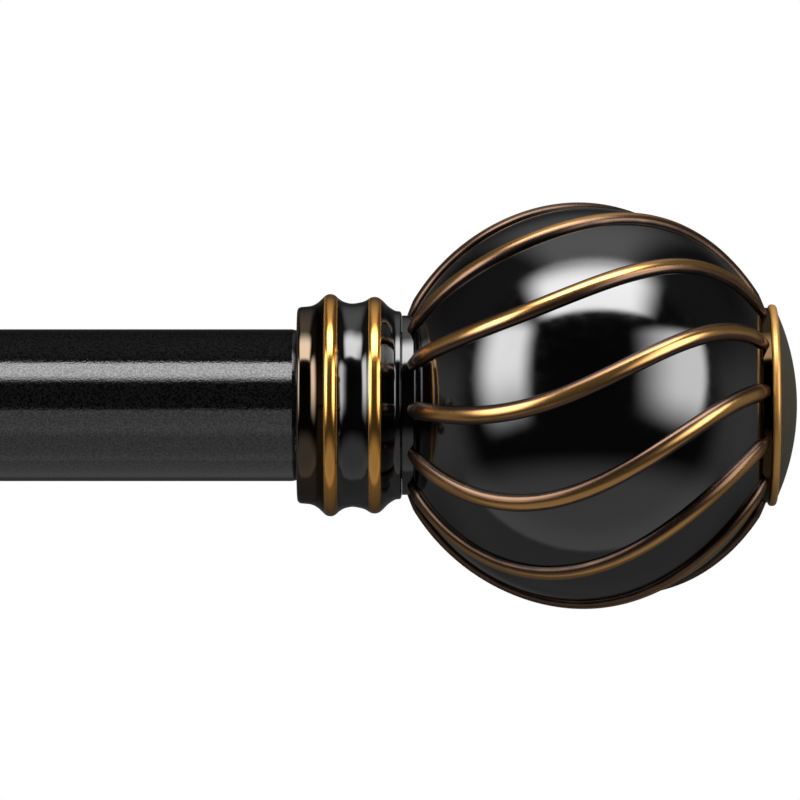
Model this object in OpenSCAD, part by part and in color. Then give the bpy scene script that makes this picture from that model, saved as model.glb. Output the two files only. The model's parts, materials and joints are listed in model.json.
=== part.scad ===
// Telescoping curtain rod with two screw-on ball finials and two wall brackets.
// Millimetres. +X runs along the rod, the wall is the plane y = 0 with the rod on its -Y side,
// and +Z is up. The origin is the centre of the four wall-screw holes.

/* [Rod] */
// Outside diameter of the outer tube
outer_tube_d = 25.4; // [25:0.1:26]
// Outside diameter of the inner tube
inner_tube_d = 22.2; // [21.6:0.1:22.4]
// Wall thickness of both tubes
tube_wall = 0.7; // [0.6:0.1:0.9]
// Shortest length of the rod, from collar to collar
closed_length = 711.2; // [690:0.1:760]
// Length of each tube
tube_length = 660.4; // [640:0.1:670]

/* [Finial] */
// Radius of the ball, without its ribs
ball_r = 33; // [30:0.5:36]
// Wall thickness of the ball shell
ball_wall = 1.2; // [1:0.1:2]
// Number of ribs around the ball
rib_count = 12; // [6:1:14]
// Width of a rib where it sits on the ball
rib_width = 3.1; // [2.4:0.1:3.4]
// How far a rib's crest stands out of the ball
rib_height = 1.15; // [0.8:0.05:1.4]

/* [Bracket] */
// Distance between the two brackets
bracket_spacing = 490; // [460:1:500]
// Distance from the wall to the rod's axis, arms pushed in
projection = 90; // [88:1:94]
// Distance between a plate's two wall screws
screw_spacing = 60; // [56:1:64]
// Radius of the wall-screw holes
screw_hole_r = 2.6; // [2.2:0.1:3]
// Width of a saddle along the rod
saddle_w = 16; // [14:0.5:20]

/* [Fits] */
// Gap per side between parts that slide or turn on each other
running_gap = 0.05; // [0.02:0.01:0.08]
// Gap per side between parts that are fixed to each other
seat_gap = 0.02; // [0.01:0.01:0.05]
// Gap per side between the rod and its saddles
saddle_gap = 0.3; // [0.3:0.05:0.5]

/* [Hidden] */
SIDES = [-1, 1];
PIECES = [
  "wall_plate", "arm", "arm_screw", "projection_rod", "set_screw", "saddle", "saddle_screw",
  "thumbscrew_shank", "thumbscrew_knob", "finial_stud", "finial_collar", "finial_rear_ring",
  "finial_ball", "finial_ribs", "finial_front_ring", "finial_cap", "end_plug", "end_nut"
];
$fn = 96;

outer_r = outer_tube_d / 2;
outer_bore_r = outer_r - tube_wall;
inner_r = inner_tube_d / 2;
inner_bore_r = inner_r - tube_wall;
half_length = closed_length / 2;
end_gap = 0.1;
bush_length = 20;
bush_flange = 1.5;
outer_tube_length = tube_length - 10;

stud_r = 3;
stud_back = 18;
nut_depth = 4;
nut_height = 5;
nut_across_flats = 10;
plug_length = 22;
plug_gap = 0.08;
plug_recess = 0.5;
plug_bore_r = 3.4;

collar_length = 17.5;
collar_foot_r = 16.4;
collar_foot_round = 1.2;
collar_bead_1 = [18.58, 5.5];
collar_valley = [17, 9.2];
collar_bead_2 = [18.11, 12.9];
collar_tail = [15.8, 16.3];
collar_bore_r = 12.5;
collar_floor = 3;
rear_spigot_r = 12.3;
front_spigot_r = 13.8;
stud_clearance_r = 3.2;
neck_r = 15;
ball_x = 48.7;
ball_rear_x = 19.55;
ball_front_x = 77.1;
spigot_length = 2.2;
cap_x = 78.7;
cap_rim_r = 16.86;
cap_side = 1;
cap_height = 4.8;
cap_edge_r = 0.9;
cap_hole_depth = 2.6;
rib_rear_x = 18.1;
rib_front_x = 78.6;
rib_rings = 22;
rib_first = asin((rib_rear_x - ball_x) / (ball_r + rib_height));
rib_last = asin((rib_front_x - ball_x) / (ball_r + rib_height));

plate_w = 26;
plate_h = 84;
plate_corner_r = 6;
plate_base = 1.8;
plate_t = 2.6;
plate_step = 2;
arm_r = 7;
arm_end = 62;
arm_bore_end = 12;
arm_flange_r = 10.2;
arm_flange_round = 0.8;
arm_ring_r = 9;
arm_ring_start = 47.5;
arm_ring_end = 59;
slide_r = 5;
slide_back = 18;
set_screw_y = 54;
set_screw_r = 2;
ball_end_r = 8.5;
ball_end_top = 5.5;
saddle_foot_h = 2;
saddle_foot_r = 6.4;
saddle_wall = 3;
saddle_in_r = outer_r + saddle_gap;
saddle_out_r = saddle_in_r + saddle_wall;
rod_z = ball_end_top + saddle_foot_h + saddle_out_r;
lip_height = 8;
thumb_r = 2;
boss_r = 5;
boss_reach = 4;
knob_r = 7.5;
knob_t = 7;
knob_gap = 4;
knob_flutes = 16;
knob_flute_r = 0.9;
knob_hole_depth = 5.2;
m5_r = 2.5;
m5_head_r = 4.6;
m5_head_h = 2.3;
m5_clearance = 0.1;
arm_screw_end = 10.5;
saddle_screw_length = 11;
saddle_screw_z = -saddle_in_r - m5_head_h - 0.6;

// ---- helpers ----

function side_name(side) = side < 0 ? "left_" : "right_";

// Half of a cosine wave from the point a to the point b, without b itself
function blend(a, b, steps = 5) = [
  for (i = [0 : steps - 1]) [
    a[0] + (b[0] - a[0]) * (1 - cos(180 * i / steps)) / 2,
    a[1] + (b[1] - a[1]) * i / steps
  ]
];

// Arc of points round c from angle a to angle b
function arc(c, r, a, b, steps = 6) = [
  for (i = [0 : steps]) c + r * [cos(a + (b - a) * i / steps), sin(a + (b - a) * i / steps)]
];

// Turns a profile of [radius, distance] round the X axis
module turned(points) rotate([0, 90, 0]) rotate_extrude() polygon(points);

// Turns a profile of [radius, distance from the wall] round an arm's axis
module turned_out(points) rotate([90, 0, 0]) rotate_extrude() polygon(points);

// Cylinder from the wall distance a to the wall distance b
module rod_out(r, a, b) translate([0, -a, 0]) rotate([90, 0, 0]) cylinder(r = r, h = b - a);

// Cylinder along +X from a to b
module rod_along(r, a, b) translate([a, 0, 0]) rotate([0, 90, 0]) cylinder(r = r, h = b - a);

// Puts a bracket's piece in its place, and a finial's or tube end's piece on its end of the rod
module at_bracket(side) translate([side * bracket_spacing / 2, 0, 0]) children();
module at_end(side) translate([side * half_length, -projection, rod_z])
  rotate([0, 0, side < 0 ? 180 : 0]) children();

// ---- rod ----

// Tube along +X that ends at x = 0 in an edge rolled to a radius
module tube(r, length) {
  edge = tube_wall * 0.9;
  turned(concat(
    [[r - tube_wall, -length], [r, -length]],
    arc([r - edge, -edge], edge, 0, 75, 5),
    [[r - tube_wall, 0]]
  ));
}

module outer_tube() color("#26262a")
  at_end(1) translate([-end_gap, 0, 0]) tube(outer_r, outer_tube_length);

module inner_tube() color("#303034")
  at_end(-1) translate([-end_gap, 0, 0]) tube(inner_r, tube_length);

// Nylon sleeve that fills the gap at the outer tube's mouth
module mouth_bush() color("#1d1d1f")
  at_end(1) translate([-end_gap - outer_tube_length, 0, 0]) difference() {
    union() {
      rod_along(outer_bore_r - seat_gap, -bush_flange, bush_length);
      rod_along(outer_r, -bush_flange, -seat_gap);
    }
    rod_along(inner_r + running_gap, -bush_flange - 1, bush_length + 1);
  }

// Nylon sleeve shrunk on the inner tube's inner end
module guide_bush() color("#e6e4dd")
  at_end(-1) translate([-end_gap - tube_length, 0, 0]) difference() {
    rod_along(outer_bore_r - running_gap, 0, bush_length);
    rod_along(inner_r + seat_gap / 2, -1, bush_length + 1);
  }

// Plug pressed in a tube's outer end, with a pocket for its nut
module end_plug(side) color("#1d1d1f")
  at_end(side) difference() {
    rod_along((side < 0 ? inner_bore_r : outer_bore_r) - plug_gap, -plug_length, -plug_recess);
    rod_along(plug_bore_r, -plug_length - 1, 1);
    rod_hexagon(nut_across_flats / 2 + seat_gap, -plug_length - 1, -nut_depth);
  }

module rod_hexagon(apothem, a, b) translate([a, 0, 0]) rotate([0, 90, 0])
  linear_extrude(b - a) circle(r = apothem / cos(30), $fn = 6);

// Captive M6 nut
module end_nut(side) color("#b9bcc0")
  at_end(side) difference() {
    rod_hexagon(nut_across_flats / 2, -nut_depth - nut_height, -nut_depth - seat_gap);
    rod_along(stud_r + running_gap, -plug_length, 0);
  }

// ---- finial ----

// M6 stud from the nut in the rod to the cap
module finial_stud(side) color("#b9bcc0")
  at_end(side) rod_along(stud_r, -stud_back, cap_x + cap_hole_depth - 0.2);

// Collar with two turned beads, hollow from the ball's side
module finial_collar(side) color("#2e2019")
  at_end(side) difference() {
    turned(concat(
      [[0, 0]],
      arc([collar_foot_r - collar_foot_round, collar_foot_round], collar_foot_round, -90, 0),
      blend([collar_foot_r, 1.3], [16.65, 2.5], 3),
      blend([16.65, 2.5], collar_bead_1, 6),
      blend(collar_bead_1, collar_valley, 6),
      blend(collar_valley, collar_bead_2, 6),
      blend(collar_bead_2, collar_tail, 6),
      arc([neck_r, collar_length - 0.8], 0.8, 0, 90, 5),
      [[0, collar_length]]
    ));
    rod_along(collar_bore_r, collar_floor, collar_length + 1);
    rod_along(stud_clearance_r, -1, collar_floor + 1);
  }

// Ring that closes a ball's opening, with a spigot on each side
module neck_ring(a, b, spigot_a, spigot_b, spigot_r) difference() {
  union() {
    rod_along(neck_r, a, b);
    rod_along(spigot_r, spigot_a, spigot_b);
  }
  rod_along(stud_clearance_r, spigot_a - 1, spigot_b + 1);
}

module finial_rear_ring(side) color("#191512") at_end(side) neck_ring(
  collar_length + seat_gap, ball_rear_x - seat_gap,
  collar_length - spigot_length, ball_rear_x + spigot_length, rear_spigot_r
);

module finial_front_ring(side) color("#191512") at_end(side) neck_ring(
  ball_front_x + seat_gap, cap_x - seat_gap, ball_front_x - spigot_length, cap_x - seat_gap,
  front_spigot_r
);

// Spun shell, open at both poles
module finial_ball(side) color("#141416")
  at_end(side) translate([ball_x, 0, 0]) rotate([0, 90, 0]) rotate_extrude() intersection() {
    difference() {
      circle(r = ball_r);
      circle(r = ball_r - ball_wall);
    }
    translate([0, ball_rear_x - ball_x]) square([ball_r + 1, ball_front_x - ball_rear_x]);
  }

// Angle of a rib round the axis, for u from -1 at its rear tip to 1 at its front tip
function rib_angle(u) = -6 - 23.2 * u - 11.6 * pow(u, 2) + 2.6 * pow(u, 3);

// Point of a rib's middle line at the latitude a, on a sphere of radius r
function rib_point(a, r) =
  let (
    u = (2 * sin(a) - sin(rib_first) - sin(rib_last)) / (sin(rib_last) - sin(rib_first)),
    turn = rib_angle(u)
  )
  r * [sin(a), -cos(a) * cos(turn), -cos(a) * sin(turn)];

// Pushes a point out until it clears the neck
function off_neck(p) =
  let (away = norm([p[1], p[2]]), least = neck_r + 0.06)
  away < least ? [p[0], p[1] * least / away, p[2] * least / away] : p;

// One rib: a round-backed bead that sits on the ball
module rib() {
  lift = 0.1;
  // Half of the section: across the rib, and out of the ball
  half = [[1, 0], [0.8, 0.62], [0.3, 1]];
  section = concat(half, [for (i = [2 : -1 : 0]) [-half[i][0], half[i][1]]]);
  sides = len(section);
  rings = [
    for (i = [0 : rib_rings])
      let (
        a = rib_first + (rib_last - rib_first) * i / rib_rings,
        here = rib_point(a, ball_r),
        along = rib_point(a + 0.5, ball_r) - rib_point(a - 0.5, ball_r),
        out = here / norm(here),
        across = cross(along, out) / norm(cross(along, out)),
        full = i == 0 || i == rib_rings ? 0.7 : 1
      )
      [
        for (s = section) off_neck(
          out * (ball_r + lift + s[1] * (rib_height - lift) * full)
          + across * s[0] * full * rib_width / 2
        )
      ]
  ];
  last_ring = rib_rings * sides;
  polyhedron(
    points = [for (ring = rings) each ring],
    faces = concat(
      [for (i = [1 : sides - 2]) [0, i + 1, i]],
      [for (i = [1 : sides - 2]) [last_ring, last_ring + i, last_ring + i + 1]],
      [
        for (k = [0 : rib_rings - 1]) for (i = [0 : sides - 1])
          let (p = k * sides + i, q = k * sides + (i + 1) % sides)
          each [[p, q, q + sides], [p, q + sides, p + sides]]
      ]
    )
  );
}

module finial_ribs(side) color("#8a6a3a")
  at_end(side) translate([ball_x, 0, 0])
    for (i = [0 : rib_count - 1]) rotate([360 * i / rib_count, 0, 0]) rib();

// Domed cap with a blind hole for the stud
module finial_cap(side) color("#4a4236")
  at_end(side) difference() {
    dome_h = cap_height - cap_side - 0.6;
    dome_base_r = cap_rim_r - cap_edge_r;
    dome_r = (pow(dome_base_r, 2) + pow(dome_h, 2)) / (2 * dome_h);
    dome_x = cap_x + cap_height - dome_r;
    turned(concat(
      [[0, cap_x], [cap_rim_r, cap_x]],
      arc([dome_base_r, cap_x + cap_side - 0.2], cap_edge_r, 0, 70, 5),
      arc([0, dome_x], dome_r, acos(dome_base_r / dome_r), 90, 10)
    ));
    rod_along(stud_r + running_gap, cap_x - 1, cap_x + cap_hole_depth);
  }

// ---- bracket ----

// Rectangle with round corners, drawn from squares and circles so that its arcs stay true
module round_rectangle(w, h, r) {
  square([w - 2 * r, h], center = true);
  square([w, h - 2 * r], center = true);
  for (x = SIDES)
    for (y = SIDES)
      translate([x * (w / 2 - r), y * (h / 2 - r)]) circle(r);
}

// Stamped plate with a raised field, two wall-screw holes and a countersunk arm-screw hole
module wall_plate(side) color("#26262a")
  at_bracket(side) difference() {
    rotate([90, 0, 0]) {
      linear_extrude(plate_base) round_rectangle(plate_w, plate_h, plate_corner_r);
      linear_extrude(plate_t) round_rectangle(
        plate_w - 2 * plate_step, plate_h - 2 * plate_step, plate_corner_r - plate_step
      );
    }
    for (z = SIDES) translate([0, 0, z * screw_spacing / 2]) rod_out(screw_hole_r, -1, plate_t + 1);
    rod_out(m5_r + m5_clearance, -1, plate_t + 1);
    turned_out([
      [0, -0.1],
      [m5_head_r + m5_clearance, -0.1],
      [m5_r + m5_clearance, m5_head_h + 0.1],
      [0, m5_head_h + 0.1]
    ]);
  }

// Countersunk screw through the plate into the arm
module arm_screw(side) color("#b9bcc0")
  at_bracket(side) turned_out([
    [0, 0.1],
    [m5_head_r - 0.2, 0.1],
    [m5_r - seat_gap, m5_head_h],
    [m5_r - seat_gap, arm_screw_end],
    [0, arm_screw_end]
  ]);

// Turned arm: a flange on the plate, a slim barrel and a ring at the mouth
module arm(side) color("#26262a")
  at_bracket(side) difference() {
    turned_out(concat(
      [[0, plate_t]],
      arc([arm_flange_r, plate_t + arm_flange_round], arm_flange_round, -90, 60, 5),
      blend([arm_flange_r + 0.4, plate_t + 2 * arm_flange_round], [arm_r, plate_t + 6], 6),
      blend([arm_r, arm_ring_start], [arm_ring_r, arm_ring_start + 2.1], 4),
      [[arm_ring_r, arm_ring_start + 2.1]],
      blend([arm_ring_r, arm_ring_end], [arm_r + 0.6, arm_end - 0.8], 4),
      [[arm_r + 0.6, arm_end - 0.6], [arm_r, arm_end], [0, arm_end]]
    ));
    rod_out(slide_r + running_gap, arm_bore_end, arm_end + 1);
    rod_out(m5_r, plate_t - 1, arm_bore_end + 1);
    translate([0, -set_screw_y, -12]) cylinder(r = set_screw_r, h = 10);
  }

// Rod that slides in the arm and ends in a ball with a flat seat for the saddle
module projection_rod(side) color("#26262a")
  at_bracket(side) difference() {
    union() {
      rod_out(slide_r, slide_back, projection);
      translate([0, -projection, 0]) intersection() {
        sphere(r = ball_end_r);
        translate([0, 0, ball_end_top - 15]) cube(30, center = true);
      }
    }
    translate([0, -projection, -4]) cylinder(r = m5_r, h = 20);
  }

// Headless M4 screw with a hexagon socket
module set_screw(side) color("#b9bcc0")
  at_bracket(side) translate([0, -set_screw_y, 0]) difference() {
    translate([0, 0, -11.5]) cylinder(r = set_screw_r - running_gap, h = 11.5 - slide_r - running_gap);
    translate([0, 0, -12]) cylinder(r = 1.15, h = 2.5, $fn = 6);
  }

// Open-topped cradle on a round foot, with a threaded boss on its front lip
module saddle(side) color("#26262a")
  at_bracket(side) translate([0, -projection, rod_z]) difference() {
    union() {
      rotate([90, 0, 90]) linear_extrude(saddle_w, center = true) saddle_outline();
      translate([0, 0, -saddle_out_r - saddle_foot_h])
        cylinder(r = saddle_foot_r, h = saddle_foot_h + 2);
      rod_out(boss_r, saddle_in_r + 1.5, saddle_out_r + boss_reach);
    }
    rod_out(thumb_r + running_gap, saddle_in_r - 2, saddle_out_r + boss_reach + 1);
    translate([0, 0, -saddle_out_r - saddle_foot_h - 1]) cylinder(r = m5_r + m5_clearance, h = 8);
    translate([0, 0, saddle_screw_z]) rotate_extrude() polygon([
      [0, 0],
      [m5_r + m5_clearance, 0],
      [m5_head_r + m5_clearance, m5_head_h],
      [m5_head_r + m5_clearance, 5],
      [0, 5]
    ]);
  }

module saddle_outline() difference() {
  union() {
    circle(saddle_out_r);
    translate([-saddle_out_r, 0]) square([2 * saddle_out_r, lip_height]);
  }
  circle(saddle_in_r);
  translate([-saddle_in_r, 0]) square([2 * saddle_in_r, lip_height + 20]);
  translate([-saddle_out_r - 1, lip_height]) square([2 * saddle_out_r + 2, 20]);
}

// Countersunk screw down through the saddle into the projection rod
module saddle_screw(side) color("#b9bcc0")
  at_bracket(side) translate([0, -projection, rod_z + saddle_screw_z])
    rotate_extrude() polygon([
      [0, -saddle_screw_length],
      [m5_r - seat_gap, -saddle_screw_length],
      [m5_r - seat_gap, 0.1],
      [m5_head_r, m5_head_h + 0.1],
      [0, m5_head_h + 0.1]
    ]);

// Plain-ended M4 shank of the thumbscrew, its tip just off the rod
module thumbscrew_shank(side) color("#b9bcc0")
  at_bracket(side) translate([0, -projection, rod_z])
    rod_out(thumb_r, outer_r + 0.05, saddle_out_r + boss_reach + knob_gap + 5);

// Fluted knob on the shank
module thumbscrew_knob(side) color("#26262a")
  at_bracket(side)
    translate([0, -projection - saddle_out_r - boss_reach - knob_gap, rod_z]) difference() {
      turned_out(concat(
        [[0, 0], [4.5, 0], [5, 1]],
        arc([knob_r - 0.6, 1.6], 0.6, -90, 0, 3),
        arc([knob_r - 0.8, knob_t - 0.8], 0.8, 0, 90, 4),
        [[0, knob_t]]
      ));
      for (i = [0 : knob_flutes - 1])
        rotate([0, 360 * i / knob_flutes, 0])
          translate([knob_r + 0.3, 0, 0]) rod_out(knob_flute_r, -1, knob_t + 1);
      rod_out(thumb_r + running_gap, -1, knob_hole_depth);
    }

// ---- assembly ----

outer_tube();
inner_tube();
mouth_bush();
guide_bush();
for (side = SIDES) {
  name = side_name(side);
  wall_plate(side);
  arm(side);
  arm_screw(side);
  projection_rod(side);
  set_screw(side);
  saddle(side);
  saddle_screw(side);
  thumbscrew_shank(side);
  thumbscrew_knob(side);
  finial_stud(side);
  finial_collar(side);
  finial_rear_ring(side);
  finial_ball(side);
  finial_ribs(side);
  finial_front_ring(side);
  finial_cap(side);
  end_plug(side);
  end_nut(side);
}
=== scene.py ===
"""Looks of a telescoping curtain rod with twisted-rib ball finials and two wall brackets.

Shapes are drawn in millimetres in a local frame, X along the piece's own axis, and placed by
the object's matrix. A finial's frame starts at its collar's foot and points away from the rod.
"""

import json
import math

import bmesh
import bpy
from mathutils import Matrix, Quaternion, Vector, geometry


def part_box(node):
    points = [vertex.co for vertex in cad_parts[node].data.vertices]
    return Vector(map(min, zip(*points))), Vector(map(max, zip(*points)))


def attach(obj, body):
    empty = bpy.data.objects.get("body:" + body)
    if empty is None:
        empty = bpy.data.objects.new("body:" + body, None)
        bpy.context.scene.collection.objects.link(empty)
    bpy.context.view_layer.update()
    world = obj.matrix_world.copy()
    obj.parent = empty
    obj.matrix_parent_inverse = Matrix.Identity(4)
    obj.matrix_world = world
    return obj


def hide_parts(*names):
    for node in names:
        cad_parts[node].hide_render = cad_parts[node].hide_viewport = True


MM = 0.001
SIDES = {"left": -1, "right": 1}

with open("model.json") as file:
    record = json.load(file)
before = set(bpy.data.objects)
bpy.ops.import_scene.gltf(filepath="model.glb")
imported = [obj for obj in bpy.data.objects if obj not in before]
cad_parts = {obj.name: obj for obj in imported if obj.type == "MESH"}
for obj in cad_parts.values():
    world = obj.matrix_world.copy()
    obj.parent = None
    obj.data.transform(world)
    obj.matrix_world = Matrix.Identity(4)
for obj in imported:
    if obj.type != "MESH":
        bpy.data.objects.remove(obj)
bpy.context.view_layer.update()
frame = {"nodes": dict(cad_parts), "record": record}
scene = bpy.context.scene

# ---- where things are, in millimetres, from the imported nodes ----


def span(node):
    """Lowest and highest corner of a CAD node, in millimetres."""
    low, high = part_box(node)
    return low / MM, high / MM


def middle(node):
    """Middle of a CAD node's box, in millimetres."""
    low, high = span(node)
    return (low + high) / 2


rod = middle("outer_tube")
half_length = span("right_finial_collar")[0].x
bracket_x = middle("right_wall_plate").x

tube_wall = 0.7
collar_length = 17.5
ball_r = 33
ball_x = 48.7
ball_rear_x = 19.55
ball_front_x = 77.1
cap_x = 78.7
neck_r = 15
drawn_front_neck_r = 16.3
seam = 0.02
arm_reach = -rod.y
plate_thickness = 2.6
set_screw_x = 54


def at_end(side):
    """Frame of a rod end: origin at the collar's foot, X away from the rod."""
    place = Matrix.Translation(Vector((SIDES[side] * half_length, rod.y, rod.z)) * MM)
    return place @ Matrix.Rotation(math.pi if side == "left" else 0, 4, "Z")


def at_bracket(side):
    """Frame of a bracket: origin on the wall, X out from it, Y along the rod, Z up."""
    place = Matrix.Translation(Vector((SIDES[side] * bracket_x, 0, 0)) * MM)
    return place @ Matrix.Rotation(-math.pi / 2, 4, "Z")


def at_saddle(side):
    """Frame of a saddle: origin on the rod's axis, the row's own directions."""
    return Matrix.Translation(Vector((SIDES[side] * bracket_x, rod.y, rod.z)) * MM)


# ---- outlines ----


def rounded(points, closed=False, steps=5):
    """A line of (u, v) or (u, v, cut) whose corners are rounded from a cut's distance away."""
    line = []
    count = len(points)
    for i, point in enumerate(points):
        here = Vector(point[:2])
        cut = point[2] if len(point) > 2 else 0
        if not cut or (not closed and i in (0, count - 1)):
            line.append(tuple(here))
            continue
        start = here + (Vector(points[i - 1][:2]) - here).normalized() * cut
        end = here + (Vector(points[(i + 1) % count][:2]) - here).normalized() * cut
        for k in range(steps + 1):
            t = k / steps
            line.append(tuple(start * (1 - t) ** 2 + here * 2 * t * (1 - t) + end * t * t))
    return line


def through(points, steps=6):
    """A smooth line through the points."""
    line = []
    last = len(points) - 1
    for i in range(last):
        a, b, c, d = (Vector(points[min(max(k, 0), last)]) for k in (i - 1, i, i + 1, i + 2))
        for k in range(steps):
            t = k / steps
            line.append(tuple(
                b + (c - a) * (t / 2) + (a - b * 2.5 + c * 2 - d / 2) * t ** 2
                + (b * 1.5 - a / 2 - c * 1.5 + d / 2) * t ** 3
            ))
    line.append(tuple(points[-1]))
    return line


def arc(centre, r, start, end, steps=12):
    """Points on an arc, angles in degrees."""
    angles = (math.radians(start + (end - start) * k / steps) for k in range(steps + 1))
    return [(centre[0] + r * math.cos(a), centre[1] + r * math.sin(a)) for a in angles]


# ---- solids, each a list of vertices and a list of faces ----


def lathe(profile, turns=96, closed=False, shape=None):
    """Turns points of (radius, x) round the X axis. shape scales a point by its angle, x and radius."""
    vertices, rings, faces = [], [], []
    for r, x in profile:
        first = len(vertices)
        if r < 1e-6:
            vertices.append((x, 0, 0))
            rings.append([first] * turns)
            continue
        for i in range(turns):
            angle = 2 * math.pi * i / turns
            reach = r * (shape(angle, x, r) if shape else 1)
            vertices.append((x, reach * math.cos(angle), reach * math.sin(angle)))
        rings.append(list(range(first, first + turns)))
    pairs = list(zip(rings, rings[1:]))
    if closed:
        pairs.append((rings[-1], rings[0]))
    for a, b in pairs:
        for i in range(turns):
            j = (i + 1) % turns
            corners = dict.fromkeys((a[i], a[j], b[j], b[i]))
            if len(corners) > 2:
                faces.append(tuple(corners))
    return vertices, faces


def skin(rings):
    """Joins rings of equally many points into a closed solid with flat ends."""
    count = len(rings[0])
    vertices = [tuple(p) for ring in rings for p in ring]
    faces = [tuple(range(count)), tuple(reversed(range(len(vertices) - count, len(vertices))))]
    for k in range(len(rings) - 1):
        for i in range(count):
            a, b = k * count + i, k * count + (i + 1) % count
            faces.append((a, b, b + count, a + count))
    return vertices, faces


def inset(outline, distance):
    """An outline moved inwards, for an anticlockwise outline without tight corners."""
    moved = []
    count = len(outline)
    for i, point in enumerate(outline):
        along = Vector(outline[(i + 1) % count]) - Vector(outline[i - 1])
        moved.append(tuple(Vector(point) + Vector((-along.y, along.x)).normalized() * distance))
    return moved


def round_over(x_from, x_to, bevel, steps=4):
    """Levels of a slab with rounded edges: (x, how far the outline is moved in)."""
    angles = [math.pi / 2 * k / steps for k in range(steps + 1)]
    start = [(x_from + bevel * (1 - math.sin(a)), bevel * (1 - math.cos(a))) for a in reversed(angles)]
    return start + [(x_from + x_to - x, cut) for x, cut in reversed(start)]


def slab(outline, levels, holes=(), turns=40):
    """An outline of (y, z) pushed along X through its levels, with round holes.

    A hole is (y, z, its radius at the first level, its radius at the last one).
    """
    vertices, faces = [], []
    outline = [p for i, p in enumerate(outline) if math.dist(p, outline[i - 1]) > 1e-4]
    count = len(outline)
    for x, cut in levels:
        vertices += [(x, y, z) for y, z in inset(outline, cut)]
    for k in range(len(levels) - 1):
        for i in range(count):
            a, b = k * count + i, k * count + (i + 1) % count
            faces.append((a, b, b + count, a + count))
    last = len(vertices) - count
    ends = [[list(range(count))], [list(range(last, last + count))]]
    edge = 0.25  # chamfer round each hole
    x_from = levels[0][0]
    x_to = levels[-1][0]
    for y, z, r_from, r_to in holes:
        walls = [
            (x_from, r_from + edge), (x_from + edge, r_from), (x_to - edge, r_to), (x_to, r_to + edge),
        ]
        first = len(vertices)
        for x, r in walls:
            for i in range(turns):
                angle = math.tau * i / turns
                vertices.append((x, y + r * math.cos(angle), z + r * math.sin(angle)))
        for k in range(len(walls) - 1):
            for i in range(turns):
                a, b = first + k * turns + i, first + k * turns + (i + 1) % turns
                faces.append((a, b, b + turns, a + turns))
        ends[0].append(list(range(first, first + turns)))
        ends[1].append(list(range(len(vertices) - turns, len(vertices))))
    for loops in ends:
        flat = [i for loop in loops for i in loop]
        lines = [[Vector((vertices[i][1], vertices[i][2], 0)) for i in loop] for loop in loops]
        faces += [tuple(flat[i] for i in face) for face in geometry.tessellate_polygon(lines)]
    return vertices, faces


def hexagon(angle):
    """A hexagon's radius over its apothem, by the angle."""
    return 1 / math.cos(angle % (math.pi / 3) - math.pi / 6)


def combined(base, solids, operation):
    """A solid joined with others, or what is left of it when they are cut out."""
    made = []
    for vertices, faces in (base, *solids):
        mesh = bpy.data.meshes.new("work")
        mesh.from_pydata(vertices, [], faces)
        work = bmesh.new()
        work.from_mesh(mesh)
        bmesh.ops.recalc_face_normals(work, faces=work.faces)
        work.to_mesh(mesh)
        work.free()
        made.append(bpy.data.objects.new("work", mesh))
        scene.collection.objects.link(made[-1])
    for cutter in made[1:]:
        change = made[0].modifiers.new("change", "BOOLEAN")
        change.operation = operation
        change.solver = "EXACT"
        change.object = cutter
    graph = bpy.context.evaluated_depsgraph_get()
    result = bpy.data.meshes.new_from_object(made[0].evaluated_get(graph))
    solid = [tuple(v.co) for v in result.vertices], [tuple(f.vertices) for f in result.polygons]
    bpy.data.meshes.remove(result)
    for helper in made:
        mesh = helper.data
        bpy.data.objects.remove(helper)
        bpy.data.meshes.remove(mesh)
    return solid


def thread(r, x_from, x_to, pitch, depth, turns=24):
    """A threaded rod with chamfered ends and flat crests."""
    rings_per_pitch = 6
    steepness = 1.25
    steps = round((x_to - x_from) / pitch * rings_per_pitch)

    def groove(angle, x, _):
        wave = abs(((x / pitch - angle / math.tau) % 1) * 2 - 1)
        return 1 - depth / r * (1 - min(1, wave * steepness))

    body = [(r, x_from + (x_to - x_from) * k / steps) for k in range(steps + 1)]
    body[0] = (r - depth, x_from)
    body[-1] = (r - depth, x_to)
    return lathe([(0, x_from), *body, (0, x_to)], turns, shape=groove)


def socket_screw(rings, socket_r, socket_depth, turns=36):
    """A screw along X. Its first ring is the edge of its face, which has a hexagon socket."""
    x = rings[0][1]
    rim = 0.15

    def shape(angle, _, r):
        return hexagon(angle) if r <= socket_r else 1

    recess = [(0, x + socket_depth), (socket_r, x + socket_depth), (socket_r, x + rim)]
    return lathe([*recess, (socket_r * 1.25, x), *rings], turns, shape=shape)


def turned_to(solid, matrix):
    """A solid moved by a matrix, in millimetres."""
    vertices, faces = solid
    return [tuple(matrix @ Vector(v)) for v in vertices], faces


def piece(name, solids, material, body, replaced, place, crease=32, across=None):
    """Makes one piece out of solids, in place of a CAD node."""
    vertices, faces = [], []
    for solid_vertices, solid_faces in solids:
        first = len(vertices)
        vertices += solid_vertices
        faces += [tuple(first + i for i in face) for face in solid_faces]
    mesh = bpy.data.meshes.new(name)
    mesh.from_pydata([Vector(v) * MM for v in vertices], [], faces)
    work = bmesh.new()
    work.from_mesh(mesh)
    bmesh.ops.recalc_face_normals(work, faces=work.faces)
    for face in work.faces:
        face.smooth = True
    work.to_mesh(mesh)
    work.free()
    mesh.set_sharp_from_angle(angle=math.radians(crease))
    mesh.materials.append(material)
    if across:
        mesh.attributes.new("across", "FLOAT", "POINT").data.foreach_set("value", across)
    made = bpy.data.objects.new(name, mesh)
    scene.collection.objects.link(made)
    made.matrix_world = place
    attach(made, body)
    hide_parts(replaced)
    return made


# ---- materials ----


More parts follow.
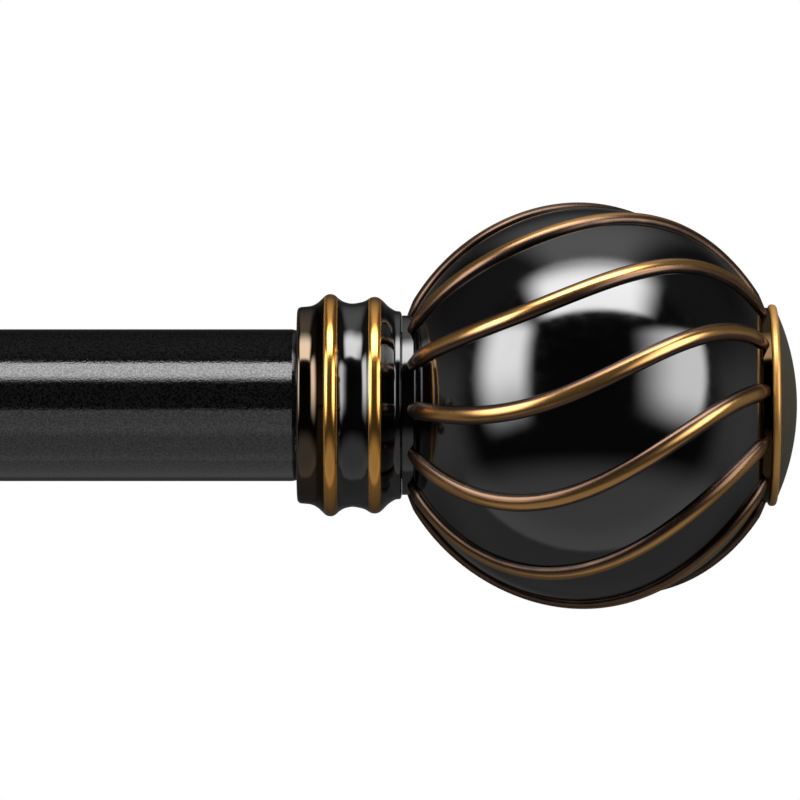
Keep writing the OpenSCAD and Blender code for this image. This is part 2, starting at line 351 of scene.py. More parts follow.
class Paint:
    """A material and short ways to add nodes to it."""

    def __init__(self, name, **sockets):
        self.material = bpy.data.materials.new(name)
        self.material.use_nodes = True
        self.tree = self.material.node_tree
        self.shader = self.tree.nodes["Principled BSDF"]
        for key, value in sockets.items():
            self.set(key.replace("_", " "), value)

    def set(self, socket, value):
        put(self.tree, self.shader.inputs[socket], value)

    def node(self, kind, *values, out=0, **settings):
        return node(self.tree, kind, *values, out=out, **settings)

    def place(self, stretch=(1, 1, 1)):
        """Object coordinates in millimetres, stretched along each axis."""
        spot = self.node("TexCoord", out="Object")
        return self.node("VectorMath", spot, tuple(s / MM for s in stretch), operation="MULTIPLY")

    def noise(self, scale, detail=2.0, stretch=(1, 1, 1)):
        spot = self.place(stretch)
        sockets = {"Vector": spot, "Scale": scale, "Detail": detail, "Roughness": 0.5}
        return self.node("TexNoise", sockets)

    def math(self, operation, *values):
        return self.node("Math", *values, operation=operation)

    def band(self, value, low, high, soft_low=0.3, soft_high=0.3):
        """1 between low and high, 0 outside, with soft edges."""
        rise = self.slope(value, low - soft_low / 2, low + soft_low / 2)
        fall = self.slope(value, high - soft_high / 2, high + soft_high / 2, 1, 0)
        return self.math("MULTIPLY", rise, fall)

    def slope(self, value, low, high, start=0.0, end=1.0):
        """A smooth step from start, at low, to end, at high."""
        return smooth_step(self.tree, value, low, high, start, end)

    def mix(self, share, first, second):
        """A colour between two."""
        made = self.tree.nodes.new("ShaderNodeMix")
        made.data_type = "RGBA"
        put(self.tree, made.inputs[0], share)
        put(self.tree, made.inputs[6], first)
        put(self.tree, made.inputs[7], second)
        return made.outputs[2]

    def bump(self, height, distance):
        """Bumps of up to a distance in millimetres."""
        bumps = {"Height": height, "Distance": distance * MM, "Strength": 1.0}
        self.set("Normal", self.node("Bump", bumps))


def put(tree, socket, value):
    """Links a socket to an output, or gives it a value."""
    if isinstance(value, bpy.types.NodeSocket):
        tree.links.new(value, socket)
    elif socket.type == "RGBA" and len(value) == 3:
        socket.default_value = (*value, 1)
    else:
        socket.default_value = value


def node(tree, kind, *values, out=0, **settings):
    """Adds a shader node, with inputs by name in a dict or in order, and returns an output."""
    made = tree.nodes.new("ShaderNode" + kind)
    for key, value in settings.items():
        setattr(made, key, value)
    if values and isinstance(values[0], dict):
        for key, value in values[0].items():
            put(tree, made.inputs[key], value)
    else:
        for i, value in enumerate(values):
            put(tree, made.inputs[i], value)
    return made.outputs[out]


def smooth_step(tree, value, low, high, start=0.0, end=1.0):
    """A smooth step of a value: start at low, end at high."""
    levels = {"Value": value, "From Min": low, "From Max": high, "To Min": start, "To Max": end}
    return node(tree, "MapRange", levels, interpolation_type="SMOOTHSTEP")


BLACK = (0.0006, 0.0006, 0.0007)
GOLD = (0.76, 0.37, 0.085)
LACQUER_IOR = 1.9


def satin_black():
    """Powder coat: black, with fine grain and a few lighter specks."""
    paint = Paint("satin_black_paint", IOR=LACQUER_IOR)
    specks = paint.slope(paint.noise(3.2, 1), 0.3, 0.7)
    paint.set("Base Color", paint.mix(specks, (0.0008, 0.0008, 0.0009), (0.012, 0.012, 0.0125)))
    paint.set("Specular Tint", paint.mix(specks, (0.62, 0.62, 0.62), (1, 1, 1)))
    paint.set("Roughness", paint.slope(paint.noise(0.08, 3), 0.3, 0.7, 0.07, 0.1))
    paint.bump(paint.noise(3.2, 1), 0.014)
    return paint.material


def gloss_black():
    """Deep black lacquer, faintly uneven."""
    paint = Paint("gloss_black_lacquer", IOR=LACQUER_IOR)
    paint.set("Base Color", paint.mix(paint.noise(0.2), BLACK, (0.0012, 0.001, 0.0009)))
    paint.set("Roughness", paint.slope(paint.noise(0.5, 4), 0.35, 0.75, 0.07, 0.11))
    paint.bump(paint.noise(0.35, 2), 0.003)
    return paint.material


def collar_lacquer():
    """Glossy black with a bronzed foot and two gold-rubbed beads, by the distance from the foot.

    The front neck ring takes the same lacquer, and is bronzed all over.
    """
    paint = Paint("bronzed_black_lacquer", IOR=LACQUER_IOR, Specular_Tint=(0.76, 0.76, 0.76))
    along = paint.node("SeparateXYZ", paint.place())
    drift = paint.math("MULTIPLY_ADD", paint.noise(0.35, 3, (0.3, 1, 1)), 0.12, -0.06)
    t = paint.math("ADD", along, drift)
    foot = paint.band(t, 0.25, 3.3, 0.3, 0.6)
    foot_and_hollow = paint.band(t, 0.25, 4.6, 0.3, 0.4)
    front_neck = paint.slope(t, 76, 77)
    first_bead = paint.band(t, 4.68, 6.75, 0.5, 0.25)
    second_bead = paint.band(t, 12.05, 14.0, 0.25, 0.2)
    bronzed = paint.math("MAXIMUM", foot_and_hollow, front_neck)
    beads = paint.math("MAXIMUM", first_bead, second_bead)
    dark = paint.mix(bronzed, BLACK, (0.04, 0.024, 0.011))
    warm = paint.mix(foot, dark, (0.095, 0.069, 0.048))
    paint.set("Base Color", paint.mix(beads, warm, GOLD))
    paint.set("Metallic", paint.math("MAXIMUM", paint.math("MULTIPLY", beads, 0.95), bronzed))
    paint.set("Roughness", paint.math("MULTIPLY_ADD", beads, 0.08, 0.09))
    paint.bump(paint.noise(0.6, 2, (1, 0.3, 0.3)), 0.0025)
    return paint.material


def rib_bronze():
    """Bronze bead rubbed to gold along its crest, by the mesh's own place across the bead. Near both
    edges, where it meets the ball, the bronze falls to near black: a painted contact shadow.
    """
    paint = Paint("rubbed_gold_bronze", IOR=LACQUER_IOR)
    across = paint.node("Attribute", out="Fac", attribute_name="across")
    along = paint.node("SeparateXYZ", paint.place())
    tips = paint.band(along, 21.5, 76.5, 4, 2)
    worn = paint.math("MULTIPLY_ADD", paint.noise(0.3, 1), 0.16, -0.08)
    place = paint.math("ADD", paint.math("ABSOLUTE", across), worn)
    crest = paint.math("MULTIPLY", paint.slope(place, 0.62, 0.3), tips)
    # Toward both edges of the bead, where it sits on the ball, the colour falls to near black: a painted
    # contact shadow.
    side = paint.slope(place, 1.0, 0.8)
    bronze_with_painted_edge_shadow = paint.mix(side, (0.015, 0.01, 0.007), (0.12, 0.067, 0.042))
    paint.set("Base Color", paint.mix(crest, bronze_with_painted_edge_shadow, (0.52, 0.28, 0.095)))
    paint.set("Metallic", 0.92)
    paint.set("Roughness", paint.math("MULTIPLY_ADD", crest, -0.06, 0.27))
    paint.bump(paint.noise(0.8, 2), 0.003)
    return paint.material


def cap_bronze():
    """Dark olive dome with a rim rubbed to gold, by the distance from the axis."""
    paint = Paint("dark_olive_bronze", IOR=1.5)
    reach = paint.node("VectorMath", paint.place(stretch=(0, 1, 1)), operation="LENGTH", out=1)
    drift = paint.math("MULTIPLY_ADD", paint.noise(0.4, 3), 0.2, -0.1)
    rim = paint.slope(paint.math("ADD", reach, drift), 16.05, 16.3)
    olive = paint.mix(paint.noise(0.25, 4), (0.085, 0.072, 0.046), (0.11, 0.094, 0.06))
    paint.set("Base Color", paint.mix(rim, olive, (0.6, 0.31, 0.085)))
    paint.set("Metallic", 0.6)
    paint.set("Roughness", paint.slope(paint.noise(0.9, 3), 0.3, 0.7, 0.3, 0.42))
    paint.bump(paint.noise(1.3, 3), 0.006)
    return paint.material


def zinc():
    """Zinc-plated steel with faint turning marks."""
    paint = Paint("zinc_plated_steel", IOR=1.5)
    marks = paint.noise(2.5, 3, (3, 0.4, 0.4))
    paint.set("Base Color", paint.mix(marks, (0.3, 0.31, 0.33), (0.45, 0.46, 0.48)))
    paint.set("Metallic", 0.95)
    paint.set("Roughness", paint.slope(paint.noise(0.7, 4), 0.3, 0.7, 0.25, 0.42))
    paint.bump(marks, 0.01)
    return paint.material


def nylon(name, dark, light):
    """Moulded nylon with a fine sparked texture."""
    paint = Paint(name, IOR=1.53)
    paint.set("Base Color", paint.mix(paint.noise(0.3, 4), dark, light))
    paint.set("Roughness", paint.slope(paint.noise(1.5, 4), 0.3, 0.7, 0.5, 0.62))
    paint.bump(paint.noise(2.5, 4), 0.015)
    return paint.material


FINISH = {
    "satin_black_metal": satin_black(),
    "gloss_black_lacquer": gloss_black(),
    "bronzed_black_lacquer": collar_lacquer(),
    "rubbed_gold_bronze": rib_bronze(),
    "dark_olive_bronze": cap_bronze(),
    "zinc_plated_steel": zinc(),
    "black_nylon": nylon("black_nylon_moulded", (0.004, 0.004, 0.004), (0.007, 0.007, 0.007)),
    "white_nylon": nylon("white_nylon_moulded", (0.3, 0.295, 0.28), (0.38, 0.375, 0.355)),
}
slot_of = {part["node"]: part["material_slot"] for part in frame["record"]["subparts"]}
body_of = {
    name: body for body, names in frame["record"]["behaviour"]["bodies"].items() for name in names
}
for name, cad in frame["nodes"].items():
    cad.data.materials.clear()
    cad.data.materials.append(FINISH[slot_of[name]])


def stand_in(name, node_name, solids, place, crease=32, across=None):
    """A piece with the body of the CAD node it replaces, and the finish of that node's slot."""
    return piece(
        name, solids, FINISH[slot_of[node_name]], body_of[node_name], node_name, place,
        crease, across,
    )


# ---- rod ----


def tube_solid(length, r):
    """Tube from x = -length to 0, curved in at its 0 end and cut square at its far end."""
    curve_r = 3
    curve_x = -1
    inner_r = r - tube_wall
    cut_end = rounded([(inner_r, curve_x), (inner_r, -length, 0.15), (r, -length, 0.25), (r, curve_x)])
    curved_end = arc((r - curve_r, curve_x), curve_r, 0, 19.5, 8)
    return lathe(cut_end[1:-1] + curved_end + [(inner_r, 0)], 144, closed=True)


for name, side in (("outer_tube", "right"), ("inner_tube", "left")):
    low, high = span(name)
    end_gap = half_length - (high.x if side == "right" else -low.x)
    tube = tube_solid(high.x - low.x, (high.z - low.z) / 2)
    tube = turned_to(tube, Matrix.Translation((-end_gap, 0, 0)))
    stand_in(name + "_drawn", name, [tube], at_end(side))

# ---- finials ----

STUD_CLEARANCE_R = 3.2
COLLAR = [
    (16.45, 1.0), (16.62, 2.4), (17.1, 3.4), (17.72, 4.1), *arc((17.12, 5.58), 1.46, -46, 46, 6),
    (17.76, 7.05), (17.27, 7.9), (17.0, 9.2), (17.2, 10.6), (17.46, 11.4),
    *arc((16.41, 12.95), 1.7, -36, 44, 6), (17.28, 14.5), (16.5, 15.3), (15.85, 16.3), (15.72, 16.9),
]


def collar_solid():
    """Turned collar, hollow from the ball's side."""
    bore_r = 3.3
    floor = 3
    hollow_r = 12.5
    foot = rounded([(bore_r, 0), (16.4, 0.02, 0.85), COLLAR[0]], steps=8)
    back = rounded([
        COLLAR[-1], (15.68, 17.3, 0.2), (15.2, collar_length, 0.2), (hollow_r, collar_length, 0.3),
        (hollow_r, floor, 0.5), (bore_r, floor),
    ])
    return lathe(foot[:-1] + through(COLLAR) + back[1:], 160, closed=True)


def rib_angle(u):
    """How far a rib has turned round the axis, for u from -1 at its rear to 1 at its front."""
    return math.radians(-6 - 23.2 * u - 11.6 * u ** 2 + 2.6 * u ** 3)


RIB_WIDTH = 3.1
RIB_HEIGHT = 1.15
RIB_SEAT = -0.12
RIB_COUNT = 12
RIB_RINGS = 84
RIB_SECTION_STEPS = 16
RIB_TIP_SIZE = 0.72
RIB_TIP_RINGS = 3
RIB_START_X = 18.1
RIB_END_X = 78.6
RIB_ANGLES = [math.pi * k / RIB_SECTION_STEPS for k in range(RIB_SECTION_STEPS + 1)]
RIB_SECTION = [(math.cos(angle), math.sin(angle) ** 0.9) for angle in RIB_ANGLES]
RIB_FIRST = math.asin((RIB_START_X - ball_x) / (ball_r + RIB_HEIGHT))
RIB_LAST = math.asin((RIB_END_X - ball_x) / (ball_r + RIB_HEIGHT))


def rib_point(latitude):
    """Direction of a rib's middle line at a latitude, from the ball's centre."""
    low, high = math.sin(RIB_FIRST), math.sin(RIB_LAST)
    turn = rib_angle((2 * math.sin(latitude) - low - high) / (high - low))
    across = math.cos(latitude)
    return Vector((math.sin(latitude), -across * math.cos(turn), -across * math.sin(turn)))


def rib_solid(turn):
    """One bead that follows the ball, its tips narrowed and kept clear of the two neck rings."""
    rings = []
    roll = Matrix.Rotation(turn, 3, "X")
    least = neck_r + 0.06
    near = 0.01
    for i in range(RIB_RINGS + 1):
        latitude = RIB_FIRST + (RIB_LAST - RIB_FIRST) * i / RIB_RINGS
        out = rib_point(latitude)
        along = rib_point(latitude + near) - rib_point(latitude - near)
        across = along.cross(out).normalized()
        from_tip = min(i, RIB_RINGS - i) / RIB_TIP_RINGS
        full = RIB_TIP_SIZE + (1 - RIB_TIP_SIZE) * min(1, from_tip)
        ring = []
        for side, rise in RIB_SECTION:
            reach = ball_r + RIB_SEAT + rise * (RIB_HEIGHT - RIB_SEAT) * full
            point = out * reach + across * (side * full * RIB_WIDTH / 2)
            away = math.hypot(point.y, point.z)
            if away < least:
                point.y *= least / away
                point.z *= least / away
            ring.append(roll @ point + Vector((ball_x, 0, 0)))
        rings.append(ring)
    return skin(rings)


def ball_solid():
    """Thin spun shell, open at both poles."""
    wall = 1.2
    rear = math.degrees(math.asin((ball_rear_x - ball_x) / ball_r))
    front = math.degrees(math.asin((ball_front_x - ball_x) / ball_r))
    outside = arc((0, ball_x), ball_r, rear, front, 96)
    inside = [(r, x) for r, x in arc((0, ball_x), ball_r - wall, front - 3, rear + 3, 24)]
    inside = [(r, min(max(x, ball_rear_x), ball_front_x)) for r, x in inside]
    return lathe(outside + inside, 192, closed=True)


def cap_solid():
    """Domed cap with a rolled rim and a blind hole for the stud."""
    rim_r = 16.86
    height = 4.8
    base_r = 16.0
    dome = 3.55
    dome_r = (base_r ** 2 + dome ** 2) / (2 * dome)
    edge = math.degrees(math.acos(base_r / dome_r))
    hole_r = 3.05
    hole_end = cap_x + 2.6
    rim = rounded([
        (hole_r, cap_x), (rim_r, cap_x, 0.55), (rim_r, cap_x + 1.3, 0.65), (15.9, cap_x + 1.4),
    ], steps=7)
    face = arc((0, cap_x + height - dome_r), dome_r, edge + 0.6, 90, 28)
    hole = [(0, hole_end), (hole_r, hole_end)]
    return lathe(hole + rim[:-1] + face[:-1] + [(0, cap_x + height)], 144)


def neck_solid(band, spigot, spigot_r, r):
    """Ring that closes a ball's opening: a band of radius r round a spigot, each from one x to another."""
    outline = [
        (STUD_CLEARANCE_R, spigot[0]), (spigot_r, spigot[0], 0.2), (spigot_r, band[0]), (r, band[0], 0.15),
        (r, band[1], 0.15), (spigot_r, band[1]), (spigot_r, spigot[1], 0.2), (STUD_CLEARANCE_R, spigot[1]),
    ]
    return lathe(rounded(outline, steps=3), 96, closed=True)


def stud_solids():
    """M6 stud: threaded in the rod's end and in the collar, plain from there to the cap."""
    shank_r = 2.6
    shank_start = 21.5
    shank_end = 81.1
    shank = rounded([(0, shank_start), (shank_r, shank_start), (shank_r, shank_end, 0.4), (0, shank_end)])
    return [thread(r=3, x_from=-18, x_to=22, pitch=1, depth=0.5), lathe(shank, 32)]


for side in SIDES:
    place = at_end(side)
    stand_in(side + "_turned_collar", side + "_finial_collar", [collar_solid()], place)
    stand_in(side + "_spun_ball", side + "_finial_ball", [ball_solid()], place)
    stand_in(
        side + "_twisted_ribs", side + "_finial_ribs",
        [rib_solid(math.tau * k / RIB_COUNT) for k in range(RIB_COUNT)], place, crease=60,
        across=[width for width, _ in RIB_SECTION] * (RIB_RINGS + 1) * RIB_COUNT,
    )
    stand_in(side + "_domed_cap", side + "_finial_cap", [cap_solid()], place)
    rear_band = (collar_length + seam, ball_rear_x - seam)
    rear_neck = neck_solid(rear_band, (15.3, 21.75), 12.3, neck_r)
    stand_in(side + "_rear_neck", side + "_finial_rear_ring", [rear_neck], place)
    front_band = (ball_front_x + seam, cap_x - seam)
    front_neck = neck_solid(front_band, (74.9, cap_x - seam), 13.8, drawn_front_neck_r)
    stand_in(side + "_front_neck", side + "_finial_front_ring", [front_neck], place)
    stand_in(side + "_threaded_stud", side + "_finial_stud", stud_solids(), place)

# ---- brackets ----

UP = Matrix.Rotation(-math.pi / 2, 4, "Y")
DOWN = Matrix.Rotation(math.pi / 2, 4, "Y")
FRONT = Matrix.Rotation(-math.pi / 2, 4, "Z")


def plate_solid():
    """Stamped plate with a raised field, two screw holes and a countersunk one behind the arm."""
    width = 26
    height = 84
    corner_r = 6
    corner_y = width / 2 - corner_r
    corner_z = height / 2 - corner_r
    hole_z = 30
    hole_r = 2.6
    countersink_r = 4.75
    outline = []
    for y, z, start in ((1, 1, 0), (-1, 1, 90), (-1, -1, 180), (1, -1, 270)):
        outline += arc((y * corner_y, z * corner_z), corner_r, start, start + 90, 10)
    levels = [
        (0, 0.3), (0.08, 0.08), (0.3, 0), (1.3, 0), (1.58, 0.1), (1.74, 0.3), (1.8, 0.7), (1.82, 1.5),
        (1.95, 1.85), (2.2, 2.0), (2.42, 2.15), (2.54, 2.4), (plate_thickness, 2.8),
    ]
    wall_holes = [(0, z, hole_r, hole_r) for z in (hole_z, -hole_z)]
    return slab(outline, levels, [*wall_holes, (0, 0, countersink_r, hole_r)])


def arm_solid():
    """Turned arm: flange, slim barrel and a mouth ring, bored for the projection rod."""
    outside = rounded([
        (2.5, plate_thickness), (10.4, plate_thickness, 0.25), (11, 3.2, 0.5), (11, 3.9, 0.5),
        (10.5, 4.3, 0.3), (9.6, 4.6, 0.6), (7.6, 6.2, 1.2), (7, 9, 1.5), (7, 46.6, 0.4),
        (7.4, 47.1, 0.3), (7.4, 48, 0.3), (8.4, 48.9, 0.5), (9, 49.8, 0.5), (9, 58.8, 0.5),
        (8.4, 59.8, 0.5), (7.5, 60.6, 0.3), (7.5, 61.4, 0.3), (7, 62, 0.3),
        (5.35, 62, 0.2), (5.05, 61.6, 0.2), (5.05, 12, 0.3), (2.5, 12, 0.1),
    ], closed=True, steps=4)
    hole = lathe([(0, 3), (2, 3), (2, 12), (0, 12)], 32)
    hole = turned_to(hole, Matrix.Translation((set_screw_x, 0, 0)) @ DOWN)
    return combined(lathe(outside, 96, closed=True), [hole], "DIFFERENCE")


def slide_solid():
    """Projection rod with a turned neck and a ball end, flat on top for the saddle."""
    reach = arm_reach
    ball_end_r = 8.5
    shaft = rounded([
        (0, 18), (5, 18, 0.6), (5, reach - 11.5), (5, reach - 10.6, 0.3), (5.9, reach - 9.9, 0.4),
        (5.9, reach - 8.9, 0.4), (5.2, reach - 8.2, 0.4), (5.2, reach - 5, 0.2), (0, reach - 5),
    ])
    round_side = arc((0, 0), ball_end_r, -90, 38, 30)[1:]
    flat_top = rounded([
        (6.62, 5.33), (6.4, 5.5, 0.15), (2.7, 5.5, 0.15), (2.5, 5.3), (2.5, -4), (0, -4),
    ], steps=2)
    ball = lathe([(0, -ball_end_r)] + round_side + flat_top, 96)
    ball = turned_to(ball, Matrix.Translation((reach, 0, 0)) @ UP)
    return combined(lathe(shaft, 96), [ball], "UNION")


def saddle_solid():
    """Open cradle with round lips, a foot below and a threaded boss in front."""
    inner = 13
    outer = 16
    lip = 8
    lip_cut = 1.3
    straight = 4
    half_width = 8
    rear_lip = rounded([
        (-inner, straight), (-inner, lip, lip_cut), (-outer, lip, lip_cut), (-outer, straight),
    ])
    front_lip = rounded([
        (outer, straight), (outer, lip, lip_cut), (inner, lip, lip_cut), (inner, straight),
    ])
    outline = rear_lip + arc((0, 0), outer, 180, 360, 48) + front_lip + arc((0, 0), inner, 360, 180, 48)
    cradle = slab(outline, round_over(-half_width, half_width, 0.7))
    foot = lathe([(0, -18), (6.2, -18), (6.4, -17.8), (6.4, -17), (7.2, -15.6), (0, -14.6)], 72)
    boss = lathe(rounded([
        (0, 14.2), (6.2, 14.2), (6.2, 15.8), (5.2, 17, 0.6), (5, 20, 0.5), (0, 20),
    ]), 72)
    bore = lathe([(0, 11), (2.05, 11), (2.05, 19.8), (2.5, 20.4), (0, 20.4)], 32)
    well = lathe([(0, -19), (2.6, -19), (2.6, -15.9), (4.7, -13.6), (4.7, -11), (0, -11)], 48)
    body = combined(cradle, [turned_to(foot, UP), turned_to(boss, FRONT)], "UNION")
    return combined(body, [turned_to(bore, FRONT), turned_to(well, UP)], "DIFFERENCE")


def knob_solid():
    """Fluted knob with a dished face and a shoulder towards the saddle."""
    bore_r = 2.05
    bore_end = 5.2
    flute_count = 16
    flute_depth = 0.075
    fluted_from_r = 6.6

    def flutes(angle, _, r):
        if r <= fluted_from_r:
            return 1
        return 1 - flute_depth * max(0, math.cos(flute_count * angle)) ** 1.5

    outline = rounded([
        (bore_r, bore_end), (bore_r, 0), (4.6, 0, 0.3), (5, 0.5, 0.3), (5, 1.1, 0.3), (6.8, 1.2, 0.3),
        (7.5, 1.9, 0.5), (7.5, 6.1, 0.5), (6.9, 6.9, 0.4), (5.6, 7, 0.2), (5.2, 6.7, 0.2), (0, 6.5),
    ], steps=3)
    return lathe([(0, bore_end)] + outline, 192, shape=flutes)


def thumbscrew_solids():
    """Fluted knob and threaded shank, in front of the rod's axis."""
    knob_x = 24
    from_rod = Matrix.Translation((arm_reach, 0, rod.z))
    knob = turned_to(knob_solid(), from_rod @ Matrix.Translation((knob_x, 0, 0)))
    shank = turned_to(thread(r=2, x_from=12.75, x_to=29, pitch=0.7, depth=0.35), from_rod)
    return knob, shank


def arm_screw_solid():
    """Countersunk screw from the plate's back into the arm."""
    rings = [(4.2, 0.1), (4.4, 0.25), (2.48, 2.3), (2.48, 10), (2.1, 10.5), (0, 10.5)]
    return socket_screw(rings, socket_r=1.5, socket_depth=1.6)


def set_screw_solid():
    """Headless screw that comes up into the arm from below."""
    rings = [(1.65, 0), (1.95, 0.3), (1.95, 6), (1.6, 6.45), (0, 6.45)]
    screw = socket_screw(rings, socket_r=0.95, socket_depth=2)
    return turned_to(screw, Matrix.Translation((set_screw_x, 0, -11.5)) @ UP)


def saddle_screw_solid():
    """Countersunk screw from inside the cradle down into the ball end."""
    rings = [(4.2, 0.05), (4.55, 0.25), (2.48, 2.3), (2.48, 12.8), (2.1, 13.3), (0, 13.3)]
    screw = socket_screw(rings, socket_r=1.5, socket_depth=1.5)
    return turned_to(screw, Matrix.Translation((0, 0, -13.5)) @ DOWN)


def mouth_bush_solid():
    """Nylon sleeve with a flange that shows at the outer tube's mouth."""
    low, high = span("mouth_bush")
    bore_r = 11.18
    flange_r = 12.65
    sleeve_r = 11.95
    flange_x = low.x + 1.47
    return lathe(rounded([
        (bore_r, low.x, 0.15), (flange_r, low.x, 0.5), (flange_r, flange_x, 0.1), (sleeve_r, flange_x),
        (sleeve_r, high.x, 0.3), (bore_r, high.x, 0.2),
    ], closed=True), 96, closed=True)


for side in SIDES:
    place = at_bracket(side)
    saddle = at_saddle(side)
    knob, shank = thumbscrew_solids()
    stand_in(side + "_stamped_plate", side + "_wall_plate", [plate_solid()], place)
    stand_in(side + "_turned_arm", side + "_arm", [arm_solid()], place)
    stand_in(side + "_sliding_rod", side + "_projection_rod", [slide_solid()], place)
    stand_in(side + "_cradle", side + "_saddle", [saddle_solid()], saddle)
    stand_in(side + "_fluted_knob", side + "_thumbscrew_knob", [knob], place)
    stand_in(side + "_thumb_thread", side + "_thumbscrew_shank", [shank], place)
    stand_in(side + "_plate_screw", side + "_arm_screw", [arm_screw_solid()], place)
    stand_in(side + "_grub_screw", side + "_set_screw", [set_screw_solid()], place)
    stand_in(side + "_cradle_screw", side + "_saddle_screw", [saddle_screw_solid()], saddle)

on_rod = Matrix.Translation(Vector((0, rod.y, rod.z)) * MM)
stand_in("mouth_bush_moulded", "mouth_bush", [mouth_bush_solid()], on_rod)

# ---- studio ----


def group(name, members):
    """A collection that lamps can be limited to."""
    made = bpy.data.collections.new(name)
    for member in members:
        made.objects.link(member)
    return made


def lamp(name, target, lit, direction, distance, size, radiance, fade, roll=0):
    """A soft box in a direction (azimuth, elevation) from a target, its edges faded by shares of its size.

    Azimuth 0 is the camera's side. fade is for the left, right, lower and upper edge. roll is in degrees.
    """
    azimuth, elevation = (math.radians(v) for v in direction)
    flat = math.cos(elevation)
    towards = Vector((math.sin(azimuth) * flat, -math.cos(azimuth) * flat, math.sin(elevation)))
    light = bpy.data.lights.new(name, "AREA")
    light.shape = "RECTANGLE"
    light.size, light.size_y = size
    light.energy = radiance * math.pi * size[0] * size[1]
    light.use_nodes = True
    tree = light.node_tree
    split = tree.nodes.new("ShaderNodeSeparateXYZ")
    tree.links.new(node(tree, "NewGeometry", out="Parametric"), split.inputs[0])
    level = 1.0
    for i, width in enumerate(fade):
        if width:
            start, end = ((0, width), (1, 1 - width))[i % 2]
            edge = smooth_step(tree, split.outputs[i // 2], start, end)
            level = node(tree, "Math", level, edge, operation="MULTIPLY")
    put(tree, tree.nodes["Emission"].inputs["Strength"], level)
    made = bpy.data.objects.new(name, light)
    scene.collection.objects.link(made)
    made.location = Vector(target) + towards * distance
    facing = (-towards).to_track_quat("-Z", "Y") @ Quaternion((0, 0, 1), math.radians(roll))
    made.rotation_euler = facing.to_euler()
    made.visible_camera = False
    made.light_linking.receiver_collection = lit
    return made


FINIAL_LAMPS = {
    "key_box": {
        "direction": (-54.5, 15), "distance": 1.6, "size": (1.22, 2.1), "radiance": 7.2,
        "fade": (0.45, 0.3, 0.6, 0.2), "roll": 13,
    },
    "fill_box": {
        "direction": (49, 14), "distance": 1.6, "size": (1.5, 1.8), "radiance": 5.2,
        "fade": (0.62, 0.15, 0.45, 0.15), "roll": -13,
    },
    "top_box": {
        "direction": (5, 76), "distance": 1.57, "size": (2.1, 1.25), "radiance": 8.4,
        "fade": (0.25, 0.28, 0.12, 0.5),
    },
    "sky_box": {
        "direction": (180, 55), "distance": 1.6, "size": (1.6, 2.3), "radiance": 0.6,
        "fade": (0.3, 0.3, 0.8, 0.05),
    },
}
ROD_LAMPS = {
    "rod_strip": {
        "direction": (0, 52), "distance": 1.5, "size": (3.4, 0.93), "radiance": 4.6,
        "fade": (0, 0, 0.35, 0.12),
    },
    "rod_low_box": {
        "direction": (0, -28), "distance": 1.3, "size": (3.4, 1.05), "radiance": 0.44,
        "fade": (0, 0, 0.5, 0.03),
    },
    "rod_back_box": {
        "direction": (180, -58), "distance": 1.3, "size": (3.4, 1.5), "radiance": 0.2,
        "fade": (0, 0, 0.1, 0.4),
    },
}
REAR_BOX = {
    "direction": (180, 22), "distance": 2.2, "size": (3.6, 1.3), "radiance": 2.5,
    "fade": (0.1, 0.1, 0.2, 0.3),
}
FLOOR_BOX = {
    "direction": (0, 70), "distance": 3.0, "size": (2.5, 2.5), "radiance": 9,
    "fade": (0.2, 0.2, 0.2, 0.2),
}


def light_the_set():
    """Soft boxes for each finial with its bracket, for the tubes and for the brackets' backs."""
    shown = [o for o in scene.objects if o.type == "MESH" and not o.hide_render]
    tubes = [o for o in shown if o.name.endswith("tube_drawn")]
    tube_group = group("tubes", tubes)
    middle_x = half_length * 0.9 * MM
    bracket_group = group("brackets", [o for o in shown if abs(o.matrix_world.translation.x) < middle_x])
    halves = {}
    for side, sign in SIDES.items():
        members = [o for o in shown if o not in tubes and o.matrix_world.translation.x * sign >= 0]
        halves[side] = group(side + "_half", members)
    rod_at = rod * MM
    for side, half in halves.items():
        ball_at = (SIDES[side] * (half_length + ball_x) * MM, rod_at.y, rod_at.z)
        for name, settings in FINIAL_LAMPS.items():
            lamp(side + "_" + name, ball_at, half, **settings)
    for name, settings in ROD_LAMPS.items():
        lamp(name, rod_at, tube_group, **settings)
    lamp("rear_box", rod_at, bracket_group, **REAR_BOX)


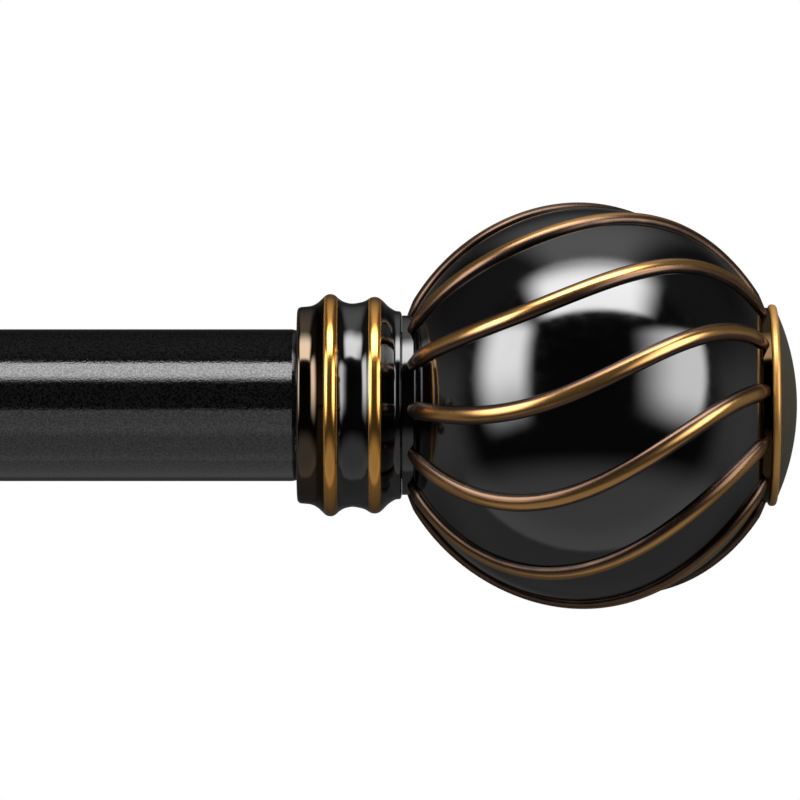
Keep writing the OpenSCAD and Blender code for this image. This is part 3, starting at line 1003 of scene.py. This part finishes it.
def studio_air():
    """White to the camera. To the surfaces, a dim backdrop behind and a pale table below."""
    world = bpy.data.worlds.new("studio_air")
    scene.world = world
    world.use_nodes = True
    air = world.node_tree
    air.nodes.clear()
    split = air.nodes.new("ShaderNodeSeparateXYZ")
    air.links.new(node(air, "TexCoord", out="Generated"), split.inputs[0])
    y = split.outputs[1]
    z = split.outputs[2]
    behind = smooth_step(air, y, -0.35, 0.0, 0.012, 0.24)
    below_top = smooth_step(air, z, 0.5, 0.1, 0.2, 1.0)
    not_far_behind = smooth_step(air, y, 0.15, 0.8, 1.0, 0.35)
    above_ground = smooth_step(air, z, -0.2, -0.8, 1.0, 0.35)
    around = node(air, "Math", behind, below_top, operation="MULTIPLY")
    around = node(air, "Math", around, not_far_behind, operation="MULTIPLY")
    around = node(air, "Math", around, above_ground, operation="MULTIPLY")
    table = smooth_step(air, z, -0.42, -0.74, 0.0, 0.36)
    in_front = smooth_step(air, y, 0.1, 0.04, 0.2, 1.0)
    level = node(air, "Math", table, in_front, around, operation="MULTIPLY_ADD")
    felt = node(air, "Background", {"Color": (1, 1, 1), "Strength": level})
    seen = node(air, "Background", {"Color": (1, 1, 1), "Strength": 1.0})
    either = node(air, "MixShader", {0: node(air, "LightPath", out="Is Camera Ray"), 1: felt, 2: seen})
    air.links.new(either, air.nodes.new("ShaderNodeOutputWorld").inputs[0])


def pale_floor():
    """A round floor that fades into the white air."""
    level = -0.45
    radius = 6.0
    mesh = bpy.data.meshes.new("pale_floor")
    angles = [math.tau * k / 96 for k in range(96)]
    rim = [(radius * math.cos(a), radius * math.sin(a), level) for a in angles]
    mesh.from_pydata(rim, [], [tuple(range(len(rim)))])
    made = bpy.data.objects.new("pale_floor", mesh)
    scene.collection.objects.link(made)
    made.visible_glossy = False
    made.visible_diffuse = False
    paint = bpy.data.materials.new("pale_floor")
    paint.use_nodes = True
    ground = paint.node_tree
    ground.nodes.clear()
    spot = node(ground, "TexCoord", out="Object")
    away = node(ground, "VectorMath", spot, operation="LENGTH", out=1)
    far = smooth_step(ground, away, 0.4, 4.0)
    near = node(ground, "BsdfDiffuse", {"Color": (0.8, 0.8, 0.8)})
    glow = node(ground, "Emission", {"Color": (1, 1, 1), "Strength": 1.0})
    blend = node(ground, "MixShader", {0: far, 1: near, 2: glow})
    ground.links.new(blend, ground.nodes.new("ShaderNodeOutputMaterial").inputs[0])
    mesh.materials.append(paint)
    lamp("floor_box", (0, 0, level), group("floor_only", [made]), **FLOOR_BOX)


light_the_set()
studio_air()
pale_floor()

# ---- camera ----

lens = bpy.data.cameras.new("camera")
lens.lens = 315
lens.sensor_width = 36
camera = bpy.data.objects.new("camera", lens)
scene.collection.objects.link(camera)
camera.location = (0.3728, -1.26, 0.02437)
camera.rotation_euler = (math.pi / 2, 0, 0)
scene.camera = camera
scene.view_settings.view_transform = "Standard"
